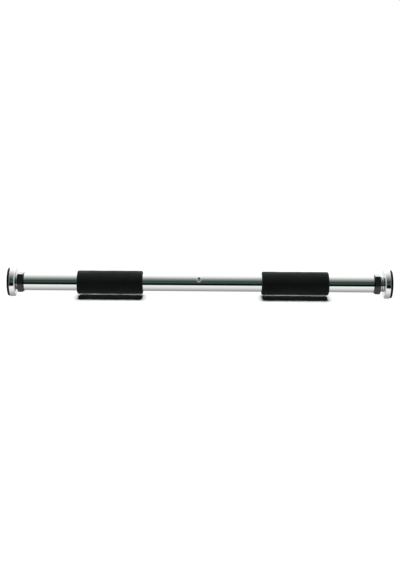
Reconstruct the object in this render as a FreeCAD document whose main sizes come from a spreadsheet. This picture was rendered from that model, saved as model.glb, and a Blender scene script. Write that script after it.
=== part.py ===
"""Pull up bar that jacks itself tight between the two jambs of a doorway.

A plain tube carries two foam grips. A threaded end tube slides in each end of it, kept from turning by
a guide pin in a keyway. A hexagonal jack nut bears on the end of the plain tube through a thrust washer:
turning the nut drives the end tube, with its steel cup and rubber pad, out against the jamb.

Frame: +X runs along the bar, +Z is up and -Y is the side that carries the centre screw. The origin is
on the bar's axis, half way between the two pad faces. All lengths are in millimetres.
"""
import FreeCAD, Part
import math
import os
import re

import Sketcher
from FreeCAD import Placement, Rotation, Vector

SIZES = {
    "tube_diameter": 28.0,
    "tube_wall": 1.2,
    "tube_length": 568.0,
    "tube_chamfer": 0.3,
    "left_gap": 2.0,
    "right_gap": 5.2,
    "grip_diameter": 37.6,
    "grip_bore": 28.2,
    "grip_length": 107.4,
    "grip_rounding": 2.0,
    "left_grip_centre": 144.6,
    "right_grip_centre": 156.3,
    "sleeve_diameter": 25.4,
    "sleeve_wall": 2.0,
    "sleeve_length": 140.0,
    "screw_angle": 38.0,
    "screw_radius": 3.0,
    "screw_hole_radius": 3.3,
    "screw_length": 14.0,
    "screw_head_radius": 5.0,
    "screw_head_height": 3.3,
    "screw_head_rounding": 2.4,
    "screw_socket_corner": 1.85,
    "screw_socket_depth": 2.0,
    "weld_nut_corner": 5.77,
    "weld_nut_height": 4.8,
    "weld_nut_seat": 8.9,
    "weld_nut_hole_radius": 3.05,
    "washer_thickness": 1.0,
    "washer_diameter": 31.0,
    "nut_width": 30.0,
    "nut_thickness": 10.0,
    "nut_bore_radius": 12.8,
    "nut_crown_radius": 16.6,
    "nut_crown_drop": 1.1,
    "neck_diameter": 25.2,
    "neck_wall": 3.0,
    "neck_inside_length": 203.0,
    "neck_chamfer": 0.8,
    "neck_travel": 152.0,
    "keyway_width": 4.4,
    "keyway_depth": 1.6,
    "keyway_spare": 0.2,
    "guide_pin_inset": 12.0,
    "guide_pin_radius": 2.0,
    "guide_pin_hole_radius": 2.05,
    "guide_pin_tip": 11.25,
    "guide_pin_head_radius": 3.6,
    "guide_pin_head_height": 1.3,
    "guide_pin_rounding": 0.9,
    "glide_diameter": 25.3,
    "glide_rim": 3.0,
    "glide_spigot": 12.0,
    "glide_bore_radius": 7.0,
    "glide_chamfer": 0.8,
    "plug_length": 22.0,
    "plug_chamfer": 0.6,
    "cup_diameter": 48.0,
    "cup_wall": 2.0,
    "cup_depth": 9.0,
    "cup_shoulder": 4.4,
    "cup_step": 0.4,
    "cup_rounding": 2.6,
    "cup_lip_rounding": 0.5,
    "cup_hole_radius": 4.3,
    "bolt_radius": 4.0,
    "bolt_hole_radius": 4.05,
    "bolt_length": 20.0,
    "bolt_head_radius": 7.0,
    "bolt_head_height": 3.6,
    "bolt_head_rounding": 1.6,
    "bolt_socket_corner": 2.9,
    "bolt_socket_depth": 2.2,
    "spring_washer_radius": 7.2,
    "spring_washer_bore": 4.2,
    "spring_washer_thickness": 1.6,
    "spring_washer_split": 1.2,
    "pad_diameter": 45.6,
    "pad_stand": 4.0,
    "pad_rounding": 0.9,
    "pad_clearance": 0.15,
    "pad_pocket_radius": 8.6,
    "pad_pocket_depth": 6.4,
    "pad_groove_width": 1.4,
    "pad_groove_depth": 0.8,
    "pad_inner_groove": 7.0,
    "pad_outer_groove": 13.5,
}

# Each end is drawn once, with x = 0 at the tube's end face and +x outwards, and is then turned about Y.
SIDES = {"left": -1, "right": 1}
TURNS = {"left": Rotation(Vector(0, 1, 0), 180), "right": Rotation()}

ALIAS = re.compile(r"\b[a-z]+(?:_[a-z]+)+\b")
TOLERANCE = 1e-4


def make_sheet(doc):
    """Driving dimensions, one row each: the name in column A and the number in column B."""
    sheet = doc.addObject("Spreadsheet::Sheet", "Sizes")
    for row, (alias, size) in enumerate(SIZES.items(), start=1):
        sheet.set(f"A{row}", alias)
        sheet.set(f"B{row}", str(size))
        sheet.setAlias(f"B{row}", alias)
    doc.recompute()
    return sheet


def bind(obj, prop, formula):
    """Tie a property to a formula of sheet aliases."""
    obj.setExpression(prop, ALIAS.sub(lambda found: "Sizes." + found.group(), formula))


def size(doc, alias):
    """The number that the sheet holds for an alias."""
    return float(doc.Sizes.get(alias))


def origin_plane(body, role):
    """The body's own origin plane with this role, such as XZ_Plane."""
    return next(plane for plane in body.Origin.OriginFeatures if plane.Role == role)


def turned(doc, name, outline):
    """A body turned about X: outline holds its corners as (x, radius) formulas, in order."""
    body = doc.addObject("PartDesign::Body", name)
    sketch = body.newObject("Sketcher::SketchObject", name + "_section")
    sketch.AttachmentSupport = (origin_plane(body, "XZ_Plane"), [""])
    sketch.MapMode = "FlatFace"
    count = len(outline)
    for index in range(count):
        angle = 2 * math.pi * index / count
        following = 2 * math.pi * (index + 1) / count
        start = Vector(math.cos(angle), math.sin(angle), 0)
        end = Vector(math.cos(following), math.sin(following), 0)
        sketch.addGeometry(Part.LineSegment(start, end), False)
    for index in range(count):
        sketch.addConstraint(Sketcher.Constraint("Coincident", index, 2, (index + 1) % count, 1))
    for index, corner in enumerate(outline):
        for kind, formula in zip(("DistanceX", "DistanceY"), corner):
            number = sketch.addConstraint(Sketcher.Constraint(kind, index, 1, 1.0))
            bind(sketch, f"Constraints[{number}]", formula)
    solid = body.newObject("PartDesign::Revolution", name + "_turning")
    solid.Profile = (sketch, [""])
    solid.ReferenceAxis = (sketch, ["H_Axis"])
    solid.Angle = 360
    doc.recompute()
    return body


def rims(shape, places):
    """Names of the circular edges about X at the given (x, radius) places."""
    names = []
    for number, edge in enumerate(shape.Edges, start=1):
        curve = edge.Curve
        if isinstance(curve, Part.Circle):
            for x, radius in places:
                if abs(curve.Center.x - x) < TOLERANCE and abs(curve.Radius - radius) < TOLERANCE:
                    names.append(f"Edge{number}")
    return names


def round_rims(doc, body, places, formula):
    """Round the rims of a turned body at the given places."""
    base = body.Tip
    fillet = body.newObject("PartDesign::Fillet", f"{body.Name}_rounding")
    fillet.Base = (base, rims(base.Shape, places))
    bind(fillet, "Radius", formula)
    doc.recompute()
    return body


def cylinder(doc, name, radius, height, placement):
    """A plain cylinder that serves as a drill."""
    tool = doc.addObject("Part::Cylinder", name)
    bind(tool, "Radius", radius)
    bind(tool, "Height", height)
    tool.Placement = placement
    return tool


def prism(doc, name, corner, height, placement):
    """A hexagonal bar, corner being its radius over the corners."""
    tool = doc.addObject("Part::Prism", name)
    tool.Polygon = 6
    bind(tool, "Circumradius", corner)
    bind(tool, "Height", height)
    tool.Placement = placement
    return tool


def cut(doc, name, base, tools):
    """Take the tools away from the base, one after another; the last result bears the name."""
    for number, tool in enumerate(tools, start=1):
        result = doc.addObject("Part::Cut", name if number == len(tools) else f"{name}_cut_{number}")
        result.Base = base
        result.Tool = tool
        doc.recompute()
        if base.Shape.Volume - result.Shape.Volume < TOLERANCE:
            raise RuntimeError(f"{tool.Name} takes nothing from {base.Name}")
        base = result
    return base


def along_x(x=0.0):
    """Stand a shape drawn along +Z on the X axis, pointing outwards, with a flat of a hexagon up."""
    return Placement(Vector(x, 0, 0), Rotation(Vector(0, 1, 0), 90) * Rotation(Vector(0, 0, 1), 30))


def screw_direction(doc):
    """Unit vector from the bar's axis through the centre screw: to the front and up."""
    angle = math.radians(size(doc, "screw_angle"))
    return Vector(0, -math.cos(angle), math.sin(angle))


def on_tube(obj):
    """Centre a piece drawn about x = 0 on the plain tube, which lies off the origin by the gaps."""
    bind(obj, "Placement.Base.x", "(left_gap - right_gap) / 2")
    return obj


def at_tube_end(obj, side):
    """Put a piece that stays with the plain tube, or turns on its end, at that end."""
    obj.Placement = Placement(Vector(), TURNS[side])
    bind(obj, "Placement.Base.x", f"{SIDES[side]} * tube_length / 2 + (left_gap - right_gap) / 2")
    return obj


def at_neck(obj, side):
    """Put a piece that slides with the end tube at that end, drawn out by the gap at rest."""
    obj.Placement = Placement(Vector(), TURNS[side])
    reach = f"(tube_length / 2 + {side}_gap)"
    bind(obj, "Placement.Base.x", f"{SIDES[side]} * {reach} + (left_gap - right_gap) / 2")
    return obj


def ring(doc, name, start, end, bore, outside):
    """A plain ring between two places along X."""
    corners = [(start, bore), (end, bore), (end, outside), (start, outside)]
    return turned(doc, name, corners)


def main_tube(doc):
    """Chromed tube with chamfered mouths, the centre screw's hole and a guide pin hole near each end."""
    half = "tube_length / 2"
    outside = "tube_diameter / 2"
    bore = f"{outside} - tube_wall"
    outline = [
        (f"-{half}", bore),
        (half, bore),
        (half, f"{outside} - tube_chamfer"),
        (f"{half} - tube_chamfer", outside),
        (f"-{half} + tube_chamfer", outside),
        (f"-{half}", f"{outside} - tube_chamfer"),
    ]
    blank = turned(doc, "main_tube_blank", outline)
    forward = Rotation(Vector(0, 0, 1), screw_direction(doc))
    start = Placement(Vector(), forward)
    drills = [cylinder(doc, "screw_drill", "screw_hole_radius", outside + " + 1", start)]
    for side, sign in SIDES.items():
        backward = Rotation(Vector(0, 0, 1), Vector(0, 1, 0))
        drill = cylinder(doc, f"{side}_pin_drill", "guide_pin_hole_radius", outside + " + 1",
                         Placement(Vector(), backward))
        bind(drill, "Placement.Base.x", f"{sign} * ({half} - guide_pin_inset)")
        drills.append(drill)
    return on_tube(cut(doc, "main_tube", blank, drills))


def centre_sleeve(doc):
    """Stiffening sleeve inside the middle of the tube, held by the centre screw."""
    half = "sleeve_length / 2"
    outside = "sleeve_diameter / 2"
    blank = ring(doc, "centre_sleeve_blank", f"-{half}", half, f"{outside} - sleeve_wall", outside)
    forward = Rotation(Vector(0, 0, 1), screw_direction(doc))
    start = Placement(Vector(), forward)
    drill = cylinder(doc, "sleeve_drill", "screw_hole_radius", outside + " + 1", start)
    return on_tube(cut(doc, "centre_sleeve", blank, [drill]))


def socket_screw(doc, name, prefix):
    """Domed screw with a hexagonal socket: x = 0 under the head, with the shank towards -x."""
    shank = f"{prefix}_radius"
    head = f"{prefix}_head_radius"
    height = f"{prefix}_head_height"
    outline = [
        (f"-{prefix}_length", "0"),
        (height, "0"),
        (height, head),
        ("0", head),
        ("0", shank),
        (f"0.5 - {prefix}_length", shank),
        (f"-{prefix}_length", f"{shank} - 0.5"),
    ]
    blank = turned(doc, name + "_blank", outline)
    top = (size(doc, height), size(doc, head))
    round_rims(doc, blank, [top], f"{prefix}_head_rounding")
    floor = size(doc, height) - size(doc, f"{prefix}_socket_depth")
    socket = prism(doc, name + "_socket", f"{prefix}_socket_corner", height, along_x(floor))
    return cut(doc, name, blank, [socket])


def centre_screw(doc):
    """Button head screw that ties the sleeve to the tube; its head rests on the tube's surface."""
    screw = socket_screw(doc, "centre_screw", "screw")
    outwards = screw_direction(doc)
    seat = outwards * (size(doc, "tube_diameter") / 2)
    screw.Placement = Placement(seat, Rotation(Vector(1, 0, 0), outwards))
    return on_tube(screw)


def centre_weld_nut(doc):
    """Hexagonal nut welded inside the sleeve, under the centre screw."""
    inwards = Rotation(Vector(0, 0, 1), -screw_direction(doc))
    seat = Placement(screw_direction(doc) * size(doc, "weld_nut_seat"), inwards)
    blank = prism(doc, "weld_nut_blank", "weld_nut_corner", "weld_nut_height", seat)
    drill = cylinder(doc, "weld_nut_drill", "weld_nut_hole_radius", "weld_nut_height", seat)
    return on_tube(cut(doc, "centre_weld_nut", blank, [drill]))


def grip(doc, side):
    """Foam grip sleeve pushed on to the tube."""
    half = "grip_length / 2"
    outside = "grip_diameter / 2"
    body = ring(doc, f"{side}_grip", f"-{half}", half, "grip_bore / 2", outside)
    edge = size(doc, "grip_length") / 2
    radius = size(doc, "grip_diameter") / 2
    round_rims(doc, body, [(-edge, radius), (edge, radius)], "grip_rounding")
    bind(body, "Placement.Base.x", f"{SIDES[side]} * {side}_grip_centre + (left_gap - right_gap) / 2")
    return body


def guide_pin(doc, side):
    """Rivet through the tube's wall at the back: its tip runs in the keyway and stops the end tube."""
    name = f"{side}_guide_pin"
    surface = "tube_diameter / 2"
    crown = f"{surface} + guide_pin_head_height"
    outline = [
        ("guide_pin_tip", "0"),
        (crown, "0"),
        (crown, "guide_pin_head_radius"),
        (surface, "guide_pin_head_radius"),
        (surface, "guide_pin_radius"),
        ("guide_pin_tip", "guide_pin_radius"),
    ]
    pin = turned(doc, name, outline)
    top = size(doc, "tube_diameter") / 2 + size(doc, "guide_pin_head_height")
    round_rims(doc, pin, [(top, size(doc, "guide_pin_head_radius"))], "guide_pin_rounding")
    pin.Placement = Placement(Vector(), Rotation(Vector(1, 0, 0), Vector(0, 1, 0)))
    place = f"{SIDES[side]} * (tube_length / 2 - guide_pin_inset) + (left_gap - right_gap) / 2"
    bind(pin, "Placement.Base.x", place)
    return pin


def thrust_washer(doc, side):
    """Steel washer between the tube's end and the jack nut."""
    outside = "washer_diameter / 2"
    body = ring(doc, f"{side}_thrust_washer", "0", "washer_thickness", "nut_bore_radius", outside)
    return at_tube_end(body, side)


def jack_nut(doc, side):
    """Thin hexagonal nut with both faces crowned at 30 degrees and a chamfered bore."""
    name = f"{side}_jack_nut"
    start = "washer_thickness"
    end = "(washer_thickness + nut_thickness)"
    crown = "nut_crown_radius"
    drop = "nut_crown_drop"
    corner = "nut_width / 1.7320508"
    outline = [
        (start, "nut_bore_radius + 0.4"),
        (f"{start} + 0.4", "nut_bore_radius"),
        (f"{end} - 0.4", "nut_bore_radius"),
        (end, "nut_bore_radius + 0.4"),
        (end, f"{crown} - 1.732 * {drop}"),
        (f"{end} - {drop}", crown),
        (f"{end} - {drop}", f"{corner} + 1"),
        (f"{start} + {drop}", f"{corner} + 1"),
        (f"{start} + {drop}", crown),
        (start, f"{crown} - 1.732 * {drop}"),
    ]
    blank = turned(doc, name + "_blank", outline)
    hexagon = prism(doc, name + "_hexagon", corner, "nut_thickness", along_x(size(doc, "washer_thickness")))
    nut = doc.addObject("Part::Common", name)
    nut.Base = blank
    nut.Tool = hexagon
    doc.recompute()
    return at_tube_end(nut, side)


def neck_tube(doc, side):
    """Screwed end tube with a keyway along its back; the thread is drawn as its crest cylinder."""
    name = f"{side}_screw_tube"
    inner = "-neck_inside_length"
    outer = "washer_thickness + nut_thickness"
    outside = "neck_diameter / 2"
    bore = f"{outside} - neck_wall"
    outline = [
        (inner, bore),
        (outer, bore),
        (outer, outside),
        ("neck_chamfer - neck_inside_length", outside),
        (inner, f"{outside} - neck_chamfer"),
    ]
    blank = turned(doc, name + "_blank", outline)
    keyway = doc.addObject("Part::Box", name + "_keyway")
    spare = "guide_pin_radius + keyway_spare"
    bind(keyway, "Length", f"neck_travel + 2 * ({spare})")
    bind(keyway, "Width", "keyway_depth + 1")
    bind(keyway, "Height", "keyway_width")
    bind(keyway, "Placement.Base.x", f"-guide_pin_inset - neck_travel - ({spare})")
    bind(keyway, "Placement.Base.y", f"{outside} - keyway_depth")
    bind(keyway, "Placement.Base.z", "-keyway_width / 2")
    return at_neck(cut(doc, name, blank, [keyway]), side)


def glide_cap(doc, side):
    """Nylon cap on the inner end of the screwed tube, which keeps it central in the bore."""
    inner = "-neck_inside_length"
    rim = "glide_diameter / 2"
    spigot = "neck_diameter / 2 - neck_wall"
    outline = [
        (f"{inner} - glide_rim", "glide_bore_radius"),
        (f"{inner} + glide_spigot", "glide_bore_radius"),
        (f"{inner} + glide_spigot", f"{spigot} - glide_chamfer"),
        (f"{inner} + glide_spigot - glide_chamfer", spigot),
        (inner, spigot),
        (inner, rim),
        (f"{inner} - glide_rim + glide_chamfer", rim),
        (f"{inner} - glide_rim", f"{rim} - glide_chamfer"),
    ]
    return at_neck(turned(doc, f"{side}_glide_cap", outline), side)


def end_plug(doc, side):
    """Steel plug pressed into the outer end of the screwed tube, tapped for the cup bolt."""
    outer = "(washer_thickness + nut_thickness)"
    radius = "(neck_diameter / 2 - neck_wall)"
    outline = [
        (f"{outer} - plug_length", "bolt_hole_radius"),
        (outer, "bolt_hole_radius"),
        (outer, radius),
        (f"{outer} - plug_length + plug_chamfer", radius),
        (f"{outer} - plug_length", f"{radius} - plug_chamfer"),
    ]
    return at_neck(turned(doc, f"{side}_end_plug", outline), side)


def cup(doc, side):
    """Chromed steel cup: a flat back on the screwed tube, a stepped wall, and a mouth for the pad."""
    back = "(washer_thickness + nut_thickness)"
    outside = "cup_diameter / 2"
    mouth = f"{back} + cup_depth"
    outline = [
        (back, "cup_hole_radius"),
        (f"{back} + cup_wall", "cup_hole_radius"),
        (f"{back} + cup_wall", f"{outside} - cup_wall"),
        (mouth, f"{outside} - cup_wall"),
        (mouth, outside),
        (f"{back} + cup_shoulder", outside),
        (f"{back} + cup_shoulder", f"{outside} - cup_step"),
        (back, f"{outside} - cup_step"),
    ]
    body = turned(doc, f"{side}_cup", outline)
    start = size(doc, "washer_thickness") + size(doc, "nut_thickness")
    radius = size(doc, "cup_diameter") / 2
    round_rims(doc, body, [(start, radius - size(doc, "cup_step"))], "cup_rounding")
    lip = start + size(doc, "cup_depth")
    round_rims(doc, body, [(lip, radius), (lip, radius - size(doc, "cup_wall"))], "cup_lip_rounding")
    return at_neck(body, side)


def spring_washer(doc, side):
    """Split spring washer under the head of the cup bolt."""
    name = f"{side}_spring_washer"
    start = "washer_thickness + nut_thickness + cup_wall"
    end = f"{start} + spring_washer_thickness"
    blank = ring(doc, name + "_blank", start, end, "spring_washer_bore", "spring_washer_radius")
    split = doc.addObject("Part::Box", name + "_split")
    bind(split, "Length", "spring_washer_thickness")
    bind(split, "Width", "spring_washer_split")
    bind(split, "Height", "spring_washer_radius")
    bind(split, "Placement.Base.x", start)
    bind(split, "Placement.Base.y", "-spring_washer_split / 2")
    return at_neck(cut(doc, name, blank, [split]), side)


def cup_bolt(doc, side):
    """Button head bolt through the cup into the end plug."""
    bolt = socket_screw(doc, f"{side}_cup_bolt", "bolt")
    bolt.Placement = Placement(Vector(), TURNS[side])
    seat = "washer_thickness + nut_thickness + cup_wall + spring_washer_thickness"
    reach = f"tube_length / 2 + {side}_gap + {seat}"
    bind(bolt, "Placement.Base.x", f"{SIDES[side]} * ({reach}) + (left_gap - right_gap) / 2")
    return bolt


def pad(doc, side):
    """Rubber pad seated in the cup, hollow over the bolt head, with two grooves in its flat face."""
    name = f"{side}_pad"
    floor = "(washer_thickness + nut_thickness + cup_wall)"
    mouth = "(washer_thickness + nut_thickness + cup_depth)"
    face = f"({mouth} + pad_stand)"
    seat = "cup_diameter / 2 - cup_wall - pad_clearance"
    outline = [
        (f"{floor} + pad_pocket_depth", "0"),
        (face, "0"),
    ]
    for groove in ("pad_inner_groove", "pad_outer_groove"):
        low = f"{groove} - pad_groove_width / 2"
        high = f"{groove} + pad_groove_width / 2"
        outline += [
            (face, low),
            (f"{face} - pad_groove_depth", low),
            (f"{face} - pad_groove_depth", high),
            (face, high),
        ]
    outline += [
        (face, "pad_diameter / 2"),
        (mouth, "pad_diameter / 2"),
        (mouth, seat),
        (floor, seat),
        (floor, "pad_pocket_radius"),
        (f"{floor} + pad_pocket_depth", "pad_pocket_radius"),
    ]
    body = turned(doc, name, outline)
    stack = ("washer_thickness", "nut_thickness", "cup_depth", "pad_stand")
    reach = sum(size(doc, alias) for alias in stack)
    round_rims(doc, body, [(reach, size(doc, "pad_diameter") / 2)], "pad_rounding")
    return at_neck(body, side)


def build(doc):
    """Every sub-part, in the order in which the bar goes together."""
    parts = [main_tube(doc), centre_sleeve(doc), centre_weld_nut(doc), centre_screw(doc)]
    for side in SIDES:
        for make in (grip, guide_pin, thrust_washer, jack_nut, neck_tube, glide_cap, end_plug, cup,
                     spring_washer, cup_bolt, pad):
            parts.append(make(doc, side))
    doc.recompute()
    return parts


def check(doc, parts):
    """Stop if any object failed to compute, or if any sub-part isn't one valid solid."""
    for obj in doc.Objects:
        if {"Invalid", "Error"} & set(obj.State):
            raise RuntimeError(f"{obj.Name} is in state {obj.State}")
    for part in parts:
        if part.Shape.isNull() or not part.Shape.isValid():
            raise RuntimeError(f"{part.Name} has no valid shape")
        if len(part.Shape.Solids) != 1:
            raise RuntimeError(f"{part.Name} is {len(part.Shape.Solids)} solids")


def main():
    doc = FreeCAD.newDocument("pull_up_bar")
    make_sheet(doc)
    parts = build(doc)
    check(doc, parts)
    os.makedirs("parts", exist_ok=True)
    for part in parts:
        part.Label = part.Name
        part.Shape.exportStep(f"parts/{part.Label}.step")
        print(f"{part.Label}: {part.Shape.Volume / 1000:.2f} cm3")


main()
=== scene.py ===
"""Doorway pull up bar: its looks.

The chromed tube, cups, nuts and other hard pieces are the CAD nodes with their own
materials.  The foam grips, the rubber pads and the two screwed tubes are modelled here,
because CAD holds them only as plain shapes.  Lengths are in metres, in the frame of the
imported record.
"""

import math

import bmesh
import bpy
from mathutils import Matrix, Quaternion, Vector, noise


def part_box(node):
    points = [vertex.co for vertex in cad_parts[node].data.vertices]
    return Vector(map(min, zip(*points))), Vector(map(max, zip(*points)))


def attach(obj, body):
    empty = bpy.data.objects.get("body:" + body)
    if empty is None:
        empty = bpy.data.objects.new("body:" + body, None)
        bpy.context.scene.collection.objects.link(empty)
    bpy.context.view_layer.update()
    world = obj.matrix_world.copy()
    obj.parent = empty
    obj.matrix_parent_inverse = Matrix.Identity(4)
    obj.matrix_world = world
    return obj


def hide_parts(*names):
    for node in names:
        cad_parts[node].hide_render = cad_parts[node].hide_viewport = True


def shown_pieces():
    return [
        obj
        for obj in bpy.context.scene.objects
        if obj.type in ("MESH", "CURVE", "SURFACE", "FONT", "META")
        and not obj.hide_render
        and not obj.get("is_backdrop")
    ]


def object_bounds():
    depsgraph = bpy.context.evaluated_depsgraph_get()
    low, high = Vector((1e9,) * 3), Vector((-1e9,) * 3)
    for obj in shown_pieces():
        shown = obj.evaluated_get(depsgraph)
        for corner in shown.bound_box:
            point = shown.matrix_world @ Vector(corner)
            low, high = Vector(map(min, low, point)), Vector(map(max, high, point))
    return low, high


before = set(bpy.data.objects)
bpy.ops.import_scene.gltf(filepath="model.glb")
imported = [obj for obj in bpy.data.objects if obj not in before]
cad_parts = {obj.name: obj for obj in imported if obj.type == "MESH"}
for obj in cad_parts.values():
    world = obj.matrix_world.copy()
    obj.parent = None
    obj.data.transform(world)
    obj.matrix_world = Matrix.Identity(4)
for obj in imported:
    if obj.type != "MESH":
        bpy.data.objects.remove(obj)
cad_low, cad_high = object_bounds()

# The photograph's viewpoint
CAMERA_DISTANCE = 1.793
CAMERA_LENS = 69.5
CAMERA_ELEVATION = math.radians(15.0)
CAMERA_ROLL = math.radians(0.40)
AIM_UP = -0.0034

# Studio light
FILL_LIGHT = 0.006
OVERHEAD_LIGHT = 3.9
OVERHEAD_TILT = math.radians(8)
OVERHEAD_SPREAD = math.radians(30)
FLOOR_CLEARANCE = 0.0002
FLOOR_HALF_WIDTH = 6.0

# Foam grips
GRIP_CLEARANCE = 0.00005
GRIP_EDGE = 0.0026
GRIP_LEAN = -0.0003
GRIP_SWELL = 0.0003
# unevenness of the foam's skin: broad ripples, small pebbles, and ends that wander
GRIP_RIPPLE = 0.0002
GRIP_PEBBLE = 0.00007
GRIP_WANDER = 0.0003
GRIP_RINGS = 110
GRIP_SIDES = 128

# Rubber pads: the CAD outline, with a ring of short slots cut into the face for ribs
PAD_CLEARANCE = 0.00015
PAD_CUP_WALL = 0.002
PAD_EDGE = 0.0009
PAD_POCKET = 0.0086
PAD_POCKET_DEPTH = 0.0064
PAD_GROOVES = (0.0070, 0.0135)
PAD_GROOVE_HALF = 0.0007
PAD_GROOVE_DEPTH = 0.0008
PAD_RIBS = 48
PAD_RIB_START = 0.0152
PAD_RIB_END = 0.0212
PAD_RIB_DEPTH = 0.0005

# The rolled thread of the screwed tubes
PITCH = 0.003
THREAD_DEPTH = 0.0009
# one turn of the thread: (share of the pitch, share of the depth)
THREAD_FORM = (
    (0.0, 0.0),
    (0.06, 0.1),
    (0.22, 0.9),
    (0.28, 1.0),
    (0.74, 1.0),
    (0.80, 0.9),
    (0.96, 0.1),
)
THREAD_LENGTH = 0.165
THREAD_SIDES = 64
TUBE_BORE = 0.0096
# the keyway is a little longer than in CAD, because its ends step with the helix
KEYWAY_HALF = 0.0022
KEYWAY_WALL = 0.00002
KEYWAY_FLOOR = 0.0110
KEYWAY_INSET = 0.0180
KEYWAY_LENGTH = 0.1610


# ---------------------------------------------------------------- materials


class Look:
    """A node material with short ways to add what these finishes need."""

    def __init__(self, name, **constants):
        self.material = bpy.data.materials.new(name)
        self.material.use_nodes = True
        self.nodes = self.material.node_tree.nodes
        self.links = self.material.node_tree.links
        self.shader = self.nodes["Principled BSDF"]
        self.place = self.nodes.new("ShaderNodeTexCoord").outputs["Object"]
        for socket, value in constants.items():
            self.shader.inputs[socket.replace("_", " ")].default_value = value

    def put(self, socket, source):
        """Feed a socket from another node's output, or set it to a plain value."""
        if isinstance(source, bpy.types.NodeSocket):
            self.links.new(source, socket)
        else:
            socket.default_value = source

    def math(self, operation, first, second=0.0):
        node = self.nodes.new("ShaderNodeMath")
        node.operation = operation
        self.put(node.inputs[0], first)
        self.put(node.inputs[1], second)
        return node.outputs[0]

    def scaled(self, stretch):
        """Object coordinates times a vector: grain that is finer along some axes."""
        node = self.nodes.new("ShaderNodeVectorMath")
        node.operation = "MULTIPLY"
        self.put(node.inputs[0], self.place)
        node.inputs[1].default_value = stretch
        return node.outputs[0]

    def noise(self, stretch, detail=3.0, roughness=0.5):
        node = self.nodes.new("ShaderNodeTexNoise")
        self.put(node.inputs["Vector"], self.scaled(stretch))
        node.inputs["Scale"].default_value = 1.0
        node.inputs["Detail"].default_value = detail
        node.inputs["Roughness"].default_value = roughness
        return node.outputs["Fac"]

    def cells(self, per_metre, feature="F1"):
        """Voronoi cells of about 1 / per_metre across."""
        node = self.nodes.new("ShaderNodeTexVoronoi")
        node.feature = feature
        self.put(node.inputs["Vector"], self.place)
        node.inputs["Scale"].default_value = per_metre
        return node.outputs["Distance"]

    def ring_grain(self, along, around):
        """Noise that runs round the bar's axis, as a lathe leaves it."""
        split = self.nodes.new("ShaderNodeSeparateXYZ")
        self.put(split.inputs[0], self.place)
        radius = self.radius()
        join = self.nodes.new("ShaderNodeCombineXYZ")
        self.put(join.inputs[0], self.math("MULTIPLY", split.outputs["X"], along))
        self.put(join.inputs[1], self.math("MULTIPLY", radius, around))
        node = self.nodes.new("ShaderNodeTexNoise")
        self.put(node.inputs["Vector"], join.outputs[0])
        node.inputs["Scale"].default_value = 1.0
        node.inputs["Detail"].default_value = 2.0
        return node.outputs["Fac"]

    def radius(self):
        """Distance from the bar's axis."""
        split = self.nodes.new("ShaderNodeSeparateXYZ")
        self.put(split.inputs[0], self.place)
        squares = self.math(
            "ADD",
            self.math("MULTIPLY", split.outputs["Y"], split.outputs["Y"]),
            self.math("MULTIPLY", split.outputs["Z"], split.outputs["Z"]),
        )
        return self.math("SQRT", squares)

    def along(self, direction):
        """Distance from the origin along a direction."""
        node = self.nodes.new("ShaderNodeVectorMath")
        node.operation = "DOT_PRODUCT"
        self.put(node.inputs[0], self.place)
        node.inputs[1].default_value = direction
        return node.outputs["Value"]

    def away_from(self, direction):
        """Distance from the centre screw's own axis, which crosses the bar's axis."""
        split = self.nodes.new("ShaderNodeSeparateXYZ")
        self.put(split.inputs[0], self.place)
        low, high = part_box("centre_screw")
        across = self.math("SUBTRACT", split.outputs["X"], (low.x + high.x) / 2)
        upward = self.along(direction.cross(Vector((1, 0, 0))))
        squares = self.math(
            "ADD",
            self.math("MULTIPLY", across, across),
            self.math("MULTIPLY", upward, upward),
        )
        return self.math("SQRT", squares)

    def between(self, value, low, high, at_low=0.0, at_high=1.0):
        """value mapped from low..high to at_low..at_high, and held beyond them."""
        node = self.nodes.new("ShaderNodeMapRange")
        self.put(node.inputs["Value"], value)
        node.inputs["From Min"].default_value = low
        node.inputs["From Max"].default_value = high
        node.inputs["To Min"].default_value = at_low
        node.inputs["To Max"].default_value = at_high
        return node.outputs["Result"]

    def blend(self, factor, first, second):
        """A colour between two others."""
        node = self.nodes.new("ShaderNodeMix")
        node.data_type = "RGBA"
        self.put(node.inputs["Factor"], factor)
        self.put(node.inputs[6], first if not isinstance(first, tuple) else (*first, 1.0))
        self.put(node.inputs[7], second if not isinstance(second, tuple) else (*second, 1.0))
        return node.outputs[2]

    def colour(self, source):
        self.put(self.shader.inputs["Base Color"], source)

    def roughness(self, source):
        self.put(self.shader.inputs["Roughness"], source)

    def bump(self, height, distance, strength=1.0, under=None):
        """Relief of the given depth in metres, over an earlier relief if there is one."""
        node = self.nodes.new("ShaderNodeBump")
        node.inputs["Strength"].default_value = strength
        node.inputs["Distance"].default_value = distance
        self.put(node.inputs["Height"], height)
        if under is not None:
            self.put(node.inputs["Normal"], under)
        self.links.new(node.outputs[0], self.shader.inputs["Normal"])
        return node.outputs[0]


def chrome_on_tube():
    """Bright plate over drawn tube: faint lines along it, fine scratches, smears from hands."""
    look = Look("chrome_on_tube", Metallic=1.0)
    smear = look.noise((14, 60, 60), detail=5.0, roughness=0.6)
    tint = look.noise((6, 25, 25), detail=2.0)
    lines = look.noise((9, 1500, 1500), detail=2.0)
    rubs = look.noise((2600, 70, 70), detail=1.0)
    rubbed = look.math("MULTIPLY", look.between(rubs, 0.66, 0.74), look.between(smear, 0.5, 0.62))
    look.colour(look.blend(tint, (0.74, 0.765, 0.76), (0.79, 0.805, 0.80)))
    sheen = look.between(smear, 0.35, 0.75, 0.03, 0.12)
    look.roughness(look.math("MAXIMUM", sheen, look.math("MULTIPLY", rubbed, 0.3)))
    drawn = look.bump(lines, 0.0000025)
    look.bump(smear, 0.000012, under=drawn)
    return look.material


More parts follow.
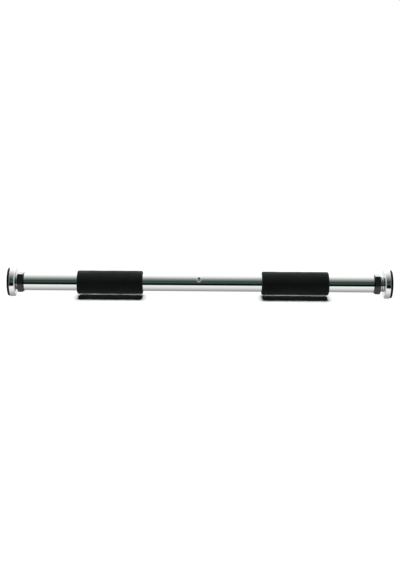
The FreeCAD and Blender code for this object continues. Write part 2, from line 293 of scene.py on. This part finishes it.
def chrome_on_cup():
    """Bright plate over a pressed and turned cup, with rubbed rims."""
    look = Look("chrome_on_cup", Metallic=1.0)
    turned = look.ring_grain(2500, 2500)
    smear = look.noise((45, 45, 45), detail=5.0, roughness=0.6)
    rubbed = look.between(look.radius(), 0.0222, 0.0229)
    look.colour(look.blend(rubbed, (0.75, 0.77, 0.765), (0.80, 0.81, 0.80)))
    look.roughness(look.between(smear, 0.35, 0.75, 0.05, 0.14))
    look.bump(turned, 0.0000025)
    return look.material


def rolled_thread():
    """Plated thread: bright crests, and roots painted dark as shade, made patchy by grease."""
    look = Look("rolled_thread", Metallic=1.0)
    grease = look.noise((120, 160, 160), detail=4.0, roughness=0.6)
    depth = look.between(look.radius(), 0.0118, 0.0125)
    clean_and_unshaded = look.math("MULTIPLY", depth, look.between(grease, 0.25, 0.6, 0.55, 1.0))
    # the roots are painted dark: painted shade, made uneven by the grease noise
    look.colour(look.blend(clean_and_unshaded, (0.16, 0.155, 0.145), (0.72, 0.735, 0.73)))
    look.roughness(look.between(clean_and_unshaded, 0.0, 1.0, 0.4, 0.12))
    look.bump(look.noise((900, 900, 900), detail=3.0), 0.00002)
    return look.material


def zinc_plate():
    """Zinc plate: soft grey patches with a faint yellow and blue cast."""
    look = Look("zinc_plate", Metallic=1.0)
    patches = look.cells(900, "SMOOTH_F1")
    cast = look.noise((70, 70, 70), detail=3.0)
    plate = look.blend(cast, (0.58, 0.60, 0.63), (0.66, 0.64, 0.55))
    look.colour(plate)
    look.roughness(look.between(patches, 0.0, 0.8, 0.26, 0.42))
    look.bump(look.noise((1400, 1400, 1400), detail=3.0), 0.00001)
    return look.material


def turned_steel():
    """Bare machined steel with lathe marks and a film of oil."""
    look = Look("turned_steel", Metallic=1.0)
    turned = look.ring_grain(4000, 4000)
    oil = look.noise((90, 90, 90), detail=4.0)
    look.colour(look.blend(oil, (0.36, 0.35, 0.33), (0.52, 0.52, 0.51)))
    look.roughness(look.between(turned, 0.3, 0.7, 0.22, 0.42))
    look.bump(turned, 0.000008)
    return look.material


def nickel_screw():
    """Bright nickel with a fine frost, and a socket painted near black as shade."""
    look = Look("nickel_screw", Metallic=0.55, Specular_IOR_Level=0.8)
    wear = look.noise((700, 700, 700), detail=4.0, roughness=0.65)
    facing, face = screw_facing()
    depth = look.along(facing)
    plate = look.blend(wear, (0.66, 0.65, 0.62), (0.84, 0.835, 0.81))
    outside = look.between(depth, face - 0.0009, face - 0.0004)
    off_centre = look.away_from(facing)
    socket = look.between(off_centre, 0.0021, 0.0024)
    clean_and_unshaded = look.math("MAXIMUM", outside, socket)
    # inside the socket the colour is painted near black: painted shade
    look.colour(look.blend(clean_and_unshaded, (0.006, 0.006, 0.006), plate))
    look.roughness(look.between(wear, 0.3, 0.7, 0.16, 0.34))
    look.bump(wear, 0.00001)
    return look.material


def screw_facing():
    """Which way the centre screw faces, and how far along that its domed head reaches."""
    low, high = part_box("centre_screw")
    middle = (low + high) / 2
    facing = Vector((0, middle.y, middle.z)).normalized()
    corners = bpy.data.objects["centre_screw"].data.vertices
    return facing, max(corner.co.dot(facing) for corner in corners)


def black_enamel():
    """Gloss black enamel, rubbed to steel along the corners that a spanner takes."""
    look = Look("black_enamel", Specular_IOR_Level=0.4, Coat_Weight=0.7, Coat_Roughness=0.08)
    peel = look.noise((420, 420, 420), detail=2.0)
    chips = look.noise((900, 650, 650), detail=5.0, roughness=0.7)
    corner = look.between(look.radius(), 0.01675, 0.01735)
    worn = look.math("MULTIPLY", corner, look.between(chips, 0.5, 0.62))
    look.colour(look.blend(worn, (0.004, 0.0055, 0.006), (0.34, 0.33, 0.31)))
    look.put(look.shader.inputs["Metallic"], worn)
    look.roughness(look.between(peel, 0.3, 0.7, 0.12, 0.22))
    relief = look.bump(peel, 0.00003)
    look.bump(look.math("MULTIPLY", worn, -1.0), 0.00004, under=relief)
    return look.material


def foam_rubber():
    """Closed-cell foam: a fine pebbled skin with pinholes painted darker as shade, greyer where hands
    rub it.
    """
    look = Look("foam_rubber", Specular_IOR_Level=0.2, Sheen_Weight=0.09, Sheen_Roughness=0.35)
    look.shader.inputs["Sheen Tint"].default_value = (0.5, 0.88, 1.0, 1.0)
    cells = look.cells(1500)
    pinholes = look.between(look.cells(520), 0.08, 0.2)
    rubbed = look.noise((28, 60, 60), detail=4.0, roughness=0.6)
    pebbles = look.noise((1100, 1100, 1100), detail=3.0)
    skin = look.blend(rubbed, (0.0050, 0.0062, 0.0060), (0.0085, 0.0105, 0.0100))
    # the pinholes are painted darker than the skin: painted shade in them
    look.colour(look.blend(pinholes, (0.003, 0.003, 0.003), skin))
    look.roughness(look.between(rubbed, 0.3, 0.7, 0.72, 0.6))
    fine = look.bump(cells, 0.00012)
    grain = look.bump(pebbles, 0.00018, under=fine)
    look.bump(pinholes, 0.00016, under=grain)
    return look.material


def moulded_rubber():
    """Satin moulded rubber with a sparked mould's grain and a little pale dust."""
    look = Look("moulded_rubber", Specular_IOR_Level=0.18)
    grain = look.noise((1300, 1300, 1300), detail=4.0)
    dust = look.noise((150, 150, 150), detail=5.0, roughness=0.7)
    dusty = look.between(dust, 0.52, 0.8)
    look.colour(look.blend(dusty, (0.0045, 0.005, 0.005), (0.016, 0.016, 0.0155)))
    look.roughness(look.between(dust, 0.3, 0.7, 0.42, 0.6))
    look.bump(grain, 0.00007)
    return look.material


def natural_nylon():
    """Natural nylon: milky, with flow marks from the mould."""
    look = Look("natural_nylon", IOR=1.53, Subsurface_Weight=0.15)
    flow = look.noise((30, 180, 180), detail=3.0)
    look.shader.inputs["Subsurface Radius"].default_value = (0.004, 0.003, 0.002)
    look.colour(look.blend(flow, (0.66, 0.64, 0.57), (0.78, 0.77, 0.71)))
    look.roughness(look.between(flow, 0.3, 0.7, 0.38, 0.5))
    look.bump(look.noise((1500, 1500, 1500), detail=2.0), 0.00002)
    return look.material


def studio_floor():
    """A plain white sweep with the faint tooth of matt card."""
    look = Look("studio_floor", Specular_IOR_Level=0.0)
    tooth = look.noise((240, 240, 240), detail=3.0)
    look.colour(look.blend(tooth, (0.90, 0.90, 0.90), (0.92, 0.92, 0.92)))
    look.roughness(look.between(tooth, 0.3, 0.7, 0.85, 0.95))
    return look.material


def dress(names, material):
    """Give CAD nodes a finish in every material slot they have."""
    for name in names:
        node = bpy.data.objects[name]
        if not node.material_slots:
            node.data.materials.append(material)
        for place in node.material_slots:
            place.material = material


# ------------------------------------------------------------------- pieces


def new_piece(name, mesh_maker, material, smooth=True):
    """A mesh object from a bmesh, shown in the scene."""
    shape = mesh_maker()
    bmesh.ops.recalc_face_normals(shape, faces=shape.faces)
    mesh = bpy.data.meshes.new(name)
    shape.to_mesh(mesh)
    shape.free()
    for face in mesh.polygons:
        face.use_smooth = smooth
    mesh.materials.append(material)
    piece = bpy.data.objects.new(name, mesh)
    bpy.context.scene.collection.objects.link(piece)
    return piece


def skin(shape, rows, closed, seamed=False):
    """Quads between rows of points that run round the axis, and back to the first row.

    The rows of a helix are seamed: their last point meets another row's first point.
    """
    loops = [[shape.verts.new(point) for point in row] for row in rows]
    follow = loops[1:] + ([loops[0]] if closed else [])
    for near, far in zip(loops, follow):
        for i in range(len(near) - 1 if seamed else len(near)):
            j = (i + 1) % len(near)
            shape.faces.new((near[i], near[j], far[j], far[i]))


def grip_profile(length, inner, outer):
    """(x from the grip's middle, radius) round the foam's wall, edges rounded."""
    half = length / 2
    edge = GRIP_EDGE
    points = []
    for step in range(9):
        turn = math.radians(90 * step / 8)
        points.append((-half + edge - edge * math.cos(turn), outer - edge + edge * math.sin(turn)))
    for step in range(1, GRIP_RINGS):
        points.append((-half + edge + (length - 2 * edge) * step / GRIP_RINGS, outer))
    for step in range(9):
        turn = math.radians(90 * step / 8)
        points.append((half - edge + edge * math.sin(turn), outer - edge + edge * math.cos(turn)))
    points.append((half - 0.0004, inner))
    points.append((-half + 0.0004, inner))
    return points


def foam_grip(node, body, seed, longer):
    """One foam grip: soft edges, ends not quite square, and a skin that isn't dead true."""
    low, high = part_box(node)
    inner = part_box("main_tube")[1].z + GRIP_CLEARANCE
    outer = high.z + GRIP_SWELL
    middle = (low.x + high.x) / 2
    length = high.x - low.x + longer

    def make():
        shape = bmesh.new()
        rows = []
        for x, radius in grip_profile(length, inner, outer):
            row = []
            for side in range(GRIP_SIDES):
                turn = 2 * math.pi * side / GRIP_SIDES
                up = Vector((0, math.cos(turn), math.sin(turn)))
                end = abs(x) / (length / 2)
                slant = GRIP_LEAN * up.z * max(0.0, end - 0.9) * 10 * math.copysign(1, x)
                ripple = noise.noise(Vector((x * 70 + seed, up.y * 1.3, up.z * 1.3)))
                pebble = noise.noise(Vector((x * 420 + seed, up.y * 7.5, up.z * 7.5)))
                soft = (radius - inner) / (outer - inner)
                grown = radius + soft * (GRIP_RIPPLE * ripple + GRIP_PEBBLE * pebble)
                drift = noise.noise(up * 1.7 + Vector((seed, 0, x * 9)))
                wander = soft * GRIP_WANDER * end * drift
                row.append(Vector((middle + x + slant + wander, 0, 0)) + grown * up)
            rows.append(row)
        skin(shape, rows, closed=True)
        return shape

    piece = new_piece(node + "_foam", make, foam)
    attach(piece, body)
    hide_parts(node)
    return piece


def thread_rows(start, end):
    """(x, share of the thread's depth) for each corner of its profile from start to end."""
    rows = []
    turn = math.floor(start / PITCH) - 1
    while turn * PITCH < end + PITCH:
        for share, height in THREAD_FORM:
            rows.append(((turn + share) * PITCH, height))
        turn += 1
    return rows


def screwed_tube(node, body, outward):
    """A tube with a right-hand rolled thread, a keyway along its back and a plain inner end."""
    low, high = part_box(node)
    crest = high.z
    root = crest - THREAD_DEPTH
    outer_end = high.x if outward > 0 else low.x
    thread_end = outer_end - outward * THREAD_LENGTH
    key_outer = outer_end - outward * KEYWAY_INSET
    key_inner = key_outer - outward * KEYWAY_LENGTH
    key_low, key_high = sorted((key_outer, key_inner))

    def surface(x, height, column):
        threaded = max(0.0, min(1.0, (x - thread_end) * outward / PITCH))
        radius = root + (crest - root) * height * threaded
        kind, value = column
        if kind == "turn":
            return Vector((x, radius * math.cos(value), radius * math.sin(value)))
        y = math.sqrt(radius * radius - value * value)
        if kind in ("floor", "last") and key_low < x < key_high:
            y = KEYWAY_FLOOR
        return Vector((x, y, value))

    gap = math.asin(KEYWAY_HALF / root) + math.radians(1.5)
    columns = [("floor", 0.0), ("floor", KEYWAY_HALF), ("edge", KEYWAY_HALF + KEYWAY_WALL)]
    for side in range(THREAD_SIDES):
        columns.append(("turn", gap + (2 * math.pi - 2 * gap) * side / (THREAD_SIDES - 1)))
    columns += [("edge", -KEYWAY_HALF - KEYWAY_WALL), ("floor", -KEYWAY_HALF), ("last", 0.0)]

    def angle(column):
        kind, value = column
        if kind == "last":
            return 2 * math.pi
        return value if kind == "turn" else math.asin(value / crest) % (2 * math.pi)

    def bore_rim(x):
        turns = [angle(column) for column in columns]
        return [Vector((x, TUBE_BORE * math.cos(turn), TUBE_BORE * math.sin(turn))) for turn in turns]

    def make():
        shape = bmesh.new()
        rows = [bore_rim(low.x)]
        for x, height in thread_rows(low.x, high.x):
            row = []
            for column in columns:
                at = x + PITCH * angle(column) / (2 * math.pi)
                at_end = not low.x < at < high.x
                at = min(max(at, low.x), high.x)
                row.append(surface(at, 0.0 if at_end else height, column))
            rows.append(row)
        rows.append(bore_rim(high.x))
        skin(shape, rows, closed=True, seamed=True)
        bmesh.ops.remove_doubles(shape, verts=shape.verts, dist=0.000002)
        bmesh.ops.dissolve_degenerate(shape, edges=shape.edges, dist=0.000001)
        return shape

    piece = new_piece(node + "_thread", make, thread)
    piece.data.set_sharp_from_angle(angle=math.radians(40))
    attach(piece, body)
    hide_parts(node)
    return piece


def pad_profile(thickness, proud, outer, seat):
    """(depth below the face, radius, ribbed or not) from the face's middle round to the back."""
    points = [(0.0, 0.0001, False)]
    for groove in PAD_GROOVES:
        for edge, depth in ((-1.15, 0), (-0.85, 1), (0.85, 1), (1.15, 0)):
            points.append((depth * PAD_GROOVE_DEPTH, groove + edge * PAD_GROOVE_HALF, False))
    points.append((0.0, PAD_RIB_START, False))
    points.append((0.0, PAD_RIB_START + 0.0003, True))
    points.append((0.0, PAD_RIB_END - 0.0003, True))
    points.append((0.0, PAD_RIB_END, False))
    for step in range(7):
        turn = math.radians(90 * step / 6)
        radius = outer - PAD_EDGE + PAD_EDGE * math.sin(turn)
        points.append((PAD_EDGE - PAD_EDGE * math.cos(turn), radius, False))
    points.append((proud - 0.0002, outer, False))
    points.append((proud, outer - 0.0002, False))
    points.append((proud, seat, False))
    points.append((thickness, seat, False))
    points.append((thickness, PAD_POCKET, False))
    points.append((thickness - PAD_POCKET_DEPTH, PAD_POCKET, False))
    points.append((thickness - PAD_POCKET_DEPTH, 0.0001, False))
    return points


def rubber_pad(node, cup, body, outward):
    """A moulded rubber pad with two grooves and a ring of short ribs in its face."""
    low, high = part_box(node)
    cup_low, cup_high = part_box(cup)
    face = high.x if outward > 0 else low.x
    mouth = cup_high.x if outward > 0 else cup_low.x
    seat = cup_high.z - PAD_CUP_WALL - PAD_CLEARANCE
    around = PAD_RIBS * 4

    def make():
        shape = bmesh.new()
        rows = []
        for depth, radius, ribbed in pad_profile(high.x - low.x, abs(face - mouth), high.z, seat):
            row = []
            for side in range(around):
                turn = 2 * math.pi * side / around
                slot_here = ribbed and side % 4 < 2
                below = depth + (PAD_RIB_DEPTH if slot_here else 0.0)
                x = face - outward * below
                row.append(Vector((x, radius * math.cos(turn), radius * math.sin(turn))))
            rows.append(row)
        skin(shape, rows, closed=False)
        bmesh.ops.remove_doubles(shape, verts=shape.verts, dist=0.000001)
        bmesh.ops.holes_fill(shape, edges=shape.edges, sides=around)
        return shape

    piece = new_piece(node + "_rubber", make, rubber)
    piece.data.set_sharp_from_angle(angle=math.radians(30))
    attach(piece, body)
    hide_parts(node)
    return piece


# --------------------------------------------------------------- the studio


def studio_world():
    """White all round for the picture and the floor; a room of soft boxes for reflections."""
    # brightness of the room by height above the horizon, counted from the front over the top
    room = (
        (-180, 1.00),
        (-162, 0.95),
        (-150, 0.45),
        (-115, 0.42),
        (-90, 0.52),
        (-70, 0.75),
        (-53, 0.94),
        (-37, 1.02),
        (-30, 1.15),
        (-23, 1.00),
        (-19, 0.25),
        (-15, 0.0),
        (-3, 0.0),
        (6, 0.03),
        (15, 0.10),
        (22, 0.075),
        (29, 0.05),
        (36, 0.08),
        (43, 0.15),
        (56, 0.26),
        (70, 0.45),
        (86, 0.70),
        (102, 1.00),
        (126, 1.20),
        (150, 2.20),
        (172, 2.20),
        (180, 1.00),
    )
    world = bpy.data.worlds.new("studio")
    bpy.context.scene.world = world
    world.use_nodes = True
    nodes = world.node_tree.nodes
    links = world.node_tree.links
    nodes.clear()
    split = nodes.new("ShaderNodeSeparateXYZ")
    links.new(nodes.new("ShaderNodeTexCoord").outputs["Generated"], split.inputs[0])
    forward = nodes.new("ShaderNodeMath")
    forward.operation = "MULTIPLY"
    forward.inputs[1].default_value = -1.0
    links.new(split.outputs["Y"], forward.inputs[0])
    height = nodes.new("ShaderNodeMath")
    height.operation = "ARCTAN2"
    links.new(split.outputs["Z"], height.inputs[0])
    links.new(forward.outputs[0], height.inputs[1])
    share = nodes.new("ShaderNodeMapRange")
    share.inputs["From Min"].default_value = -math.pi
    share.inputs["From Max"].default_value = math.pi
    links.new(height.outputs[0], share.inputs["Value"])
    ramp = nodes.new("ShaderNodeValToRGB")
    links.new(share.outputs["Result"], ramp.inputs[0])
    stops = ramp.color_ramp.elements
    while len(stops) < len(room):
        stops.new(0.5)
    for stop, (degrees, value) in zip(stops, room):
        stop.position = (degrees + 180) / 360
        warm = min(1.0, 0.55 + value)
        stop.color = (value * warm, value, value * (0.5 + warm / 2), 1.0)
    sideways = nodes.new("ShaderNodeMath")
    sideways.operation = "ABSOLUTE"
    links.new(split.outputs["X"], sideways.inputs[0])
    beside = nodes.new("ShaderNodeMapRange")
    beside.inputs["From Min"].default_value = 0.4
    beside.inputs["From Max"].default_value = 0.7
    beside.inputs["To Max"].default_value = 0.75
    links.new(sideways.outputs[0], beside.inputs["Value"])
    walls = nodes.new("ShaderNodeMix")
    walls.data_type = "RGBA"
    walls.inputs[7].default_value = (0.75, 0.77, 0.76, 1.0)
    links.new(beside.outputs["Result"], walls.inputs["Factor"])
    links.new(ramp.outputs["Color"], walls.inputs[6])
    boxes = nodes.new("ShaderNodeBackground")
    links.new(walls.outputs[2], boxes.inputs["Color"])
    fill = nodes.new("ShaderNodeBackground")
    fill.inputs["Strength"].default_value = FILL_LIGHT
    white = nodes.new("ShaderNodeBackground")
    white.inputs["Color"].default_value = (1.0, 1.0, 1.0, 1.0)
    path = nodes.new("ShaderNodeLightPath")
    seen = nodes.new("ShaderNodeMixShader")
    links.new(path.outputs["Is Camera Ray"], seen.inputs["Fac"])
    links.new(fill.outputs[0], seen.inputs[1])
    links.new(white.outputs[0], seen.inputs[2])
    mirrored = nodes.new("ShaderNodeMixShader")
    links.new(path.outputs["Is Glossy Ray"], mirrored.inputs["Fac"])
    links.new(seen.outputs[0], mirrored.inputs[1])
    links.new(boxes.outputs[0], mirrored.inputs[2])
    out = nodes.new("ShaderNodeOutputWorld")
    links.new(mirrored.outputs[0], out.inputs["Surface"])


def floor_sheet():
    """The white surface that the bar lies on, which its polished parts don't mirror."""
    level = cad_low.z - FLOOR_CLEARANCE
    half = FLOOR_HALF_WIDTH

    def make():
        shape = bmesh.new()
        corners = [(-half, -half), (half, -half), (half, half), (-half, half)]
        shape.faces.new([shape.verts.new((x, y, level)) for x, y in corners])
        return shape

    sheet = new_piece("floor", make, studio_floor(), smooth=False)
    sheet.visible_glossy = False
    sheet.visible_diffuse = False
    sheet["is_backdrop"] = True


def camera():
    """The photograph's viewpoint: a little above the bar, square on to it."""
    lens = bpy.data.cameras.new("camera")
    lens.lens = CAMERA_LENS
    lens.sensor_width = 36.0
    lens.clip_start = 0.1
    lens.clip_end = 50.0
    back = Vector((0, -math.cos(CAMERA_ELEVATION), math.sin(CAMERA_ELEVATION)))
    facing = (-back).to_track_quat("-Z", "Y") @ Quaternion((0, 0, 1), CAMERA_ROLL)
    aim = facing @ Vector((0, AIM_UP, 0))
    eye = bpy.data.objects.new("camera", lens)
    eye.rotation_mode = "QUATERNION"
    eye.rotation_quaternion = facing
    eye.location = aim + back * CAMERA_DISTANCE
    bpy.context.scene.collection.objects.link(eye)
    bpy.context.scene.camera = eye


def overhead_light():
    """A soft light above the bar and a little behind it, which throws the grips' shadows."""
    lamp = bpy.data.lights.new("overhead", "SUN")
    lamp.energy = OVERHEAD_LIGHT
    lamp.angle = OVERHEAD_SPREAD
    light = bpy.data.objects.new("overhead", lamp)
    light.rotation_euler = (-OVERHEAD_TILT, 0, 0)
    light.visible_glossy = False
    bpy.context.scene.collection.objects.link(light)


def without_shadow(names):
    """Switch off the shadows of pieces: in the photograph only the grips throw one."""
    for name in names:
        bpy.data.objects[name].visible_shadow = False
        bpy.data.objects[name].visible_diffuse = False


bpy.context.scene.view_settings.view_transform = "Standard"
camera()
studio_world()
floor_sheet()
overhead_light()

foam = foam_rubber()
thread = rolled_thread()
ends = ("left", "right")
chrome = chrome_on_tube()
dress(["main_tube"], chrome)
dress([f"{end}_cup" for end in ends], chrome_on_cup())
black = black_enamel()
dress([f"{end}_{part}" for end in ends for part in ("jack_nut", "thrust_washer")], black)
rubber = moulded_rubber()
dress([f"{end}_pad" for end in ends], rubber)
dress([f"{end}_glide_cap" for end in ends], natural_nylon())
zinc = zinc_plate()
dress([f"{end}_{part}" for end in ends for part in ("spring_washer", "cup_bolt")], zinc)
steel = turned_steel()
dress([f"{end}_end_plug" for end in ends], steel)
dress(["centre_sleeve", "centre_weld_nut"], steel)
dress(["centre_screw"], nickel_screw())
dress(["left_guide_pin", "right_guide_pin"], chrome)

foam_grip("left_grip", "bar", seed=3.0, longer=-0.0006)
foam_grip("right_grip", "bar", seed=11.0, longer=0.0016)
rubber_pad("left_pad", "left_cup", "left_end", outward=-1)
rubber_pad("right_pad", "right_cup", "right_end", outward=1)
screwed_tube("left_screw_tube", "left_end", outward=-1)
screwed_tube("right_screw_tube", "right_end", outward=1)

without_shadow([piece.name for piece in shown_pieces() if not piece.name.endswith("_foam")])
